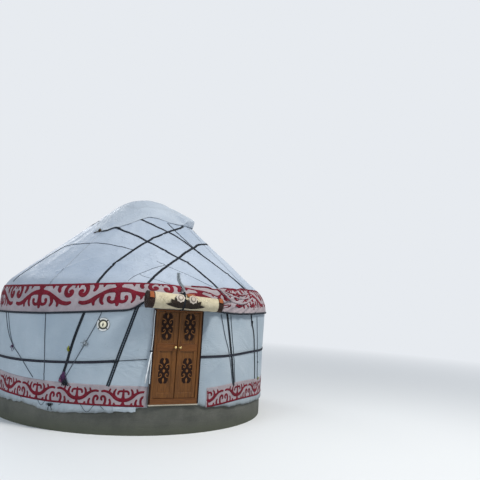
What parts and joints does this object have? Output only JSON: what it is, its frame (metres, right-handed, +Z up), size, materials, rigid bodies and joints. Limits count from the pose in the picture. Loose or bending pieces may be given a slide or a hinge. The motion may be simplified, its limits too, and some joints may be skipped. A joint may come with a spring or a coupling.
{
  "type": "yurt",
  "caption": "Canvas covered yurt with a lattice wall, bent roof poles, ornamented bands and a two-leaf wooden door, on a round concrete plinth",
  "frame": {"origin": "on the ground under the middle of the round room, at the underside of the plinth", "axes": "+Z up, door facing -Y, +X to the right of somebody who looks at the door"},
  "size_m": [5.5136, 5.7897, 4.3885],
  "materials": {
    "concrete": "rough cast",
    "sill_stone": "worn",
    "varnished_wood": "varnished",
    "brass": "satin",
    "hinge_iron": "black",
    "frame_wood": "oiled",
    "canvas": "woven, lightly coated",
    "ornament_cloth": "printed cloth",
    "webbing": "woven strap",
    "felt": "felted wool",
    "dark_felt": "felted wool"
  },
  "bodies": {
    "root": {"crown_bars": "frame_wood", "crown_cover": "canvas", "crown_ring": "frame_wood", "curtain_roll": "felt", "door_head": "varnished_wood", "door_hinges": "hinge_iron", "door_jamb_left": "varnished_wood", "door_jamb_right": "varnished_wood", "door_threshold": "varnished_wood", "floor_slab": "concrete", "girth_belt": "webbing", "lattice_panel_1": "frame_wood", "lattice_panel_2": "frame_wood", "lattice_panel_3": "frame_wood", "lattice_panel_4": "frame_wood", "lattice_panel_5": "frame_wood", "lattice_panel_6": "frame_wood", "lattice_panel_7": "frame_wood", "lattice_panel_8": "frame_wood", "lower_band_left": "ornament_cloth", "lower_band_right": "ornament_cloth", "plinth": "concrete", "roll_end_bands": "dark_felt", "roll_sling": "webbing", "roof_cover_1": "canvas", "roof_cover_2": "canvas", "roof_cover_3": "canvas", "roof_cover_4": "canvas", "roof_poles_1": "frame_wood", "roof_poles_2": "frame_wood", "roof_poles_3": "frame_wood", "roof_poles_4": "frame_wood", "roof_straps": "webbing", "sill_strip": "sill_stone", "upper_band": "ornament_cloth", "wall_cover_1": "canvas", "wall_cover_2": "canvas", "wall_cover_3": "canvas", "wall_cover_4": "canvas", "wall_cover_5": "canvas", "wall_cover_6": "canvas", "wall_cover_7": "canvas", "wall_cover_8": "canvas", "wall_cover_over_door": "canvas", "wall_medallion": "ornament_cloth"},
    "leaf_left": {"door_leaf_left": "varnished_wood", "door_knob_left": "brass", "hinge_plates_left": "hinge_iron"},
    "leaf_right": {"door_leaf_right": "varnished_wood", "door_knob_right": "brass", "hinge_plates_right": "hinge_iron"}
  },
  "joints": [
    {"name": "left_hinge", "type": "hinge", "parent": "root", "child": "leaf_left", "pos_m": [-0.366, -2.688, 1.25], "axis": [0, 0, 1], "range_deg": [0, 95]},
    {"name": "right_hinge", "type": "hinge", "parent": "root", "child": "leaf_right", "pos_m": [0.366, -2.688, 1.25], "axis": [0, 0, -1], "range_deg": [0, 95]}
  ]
}
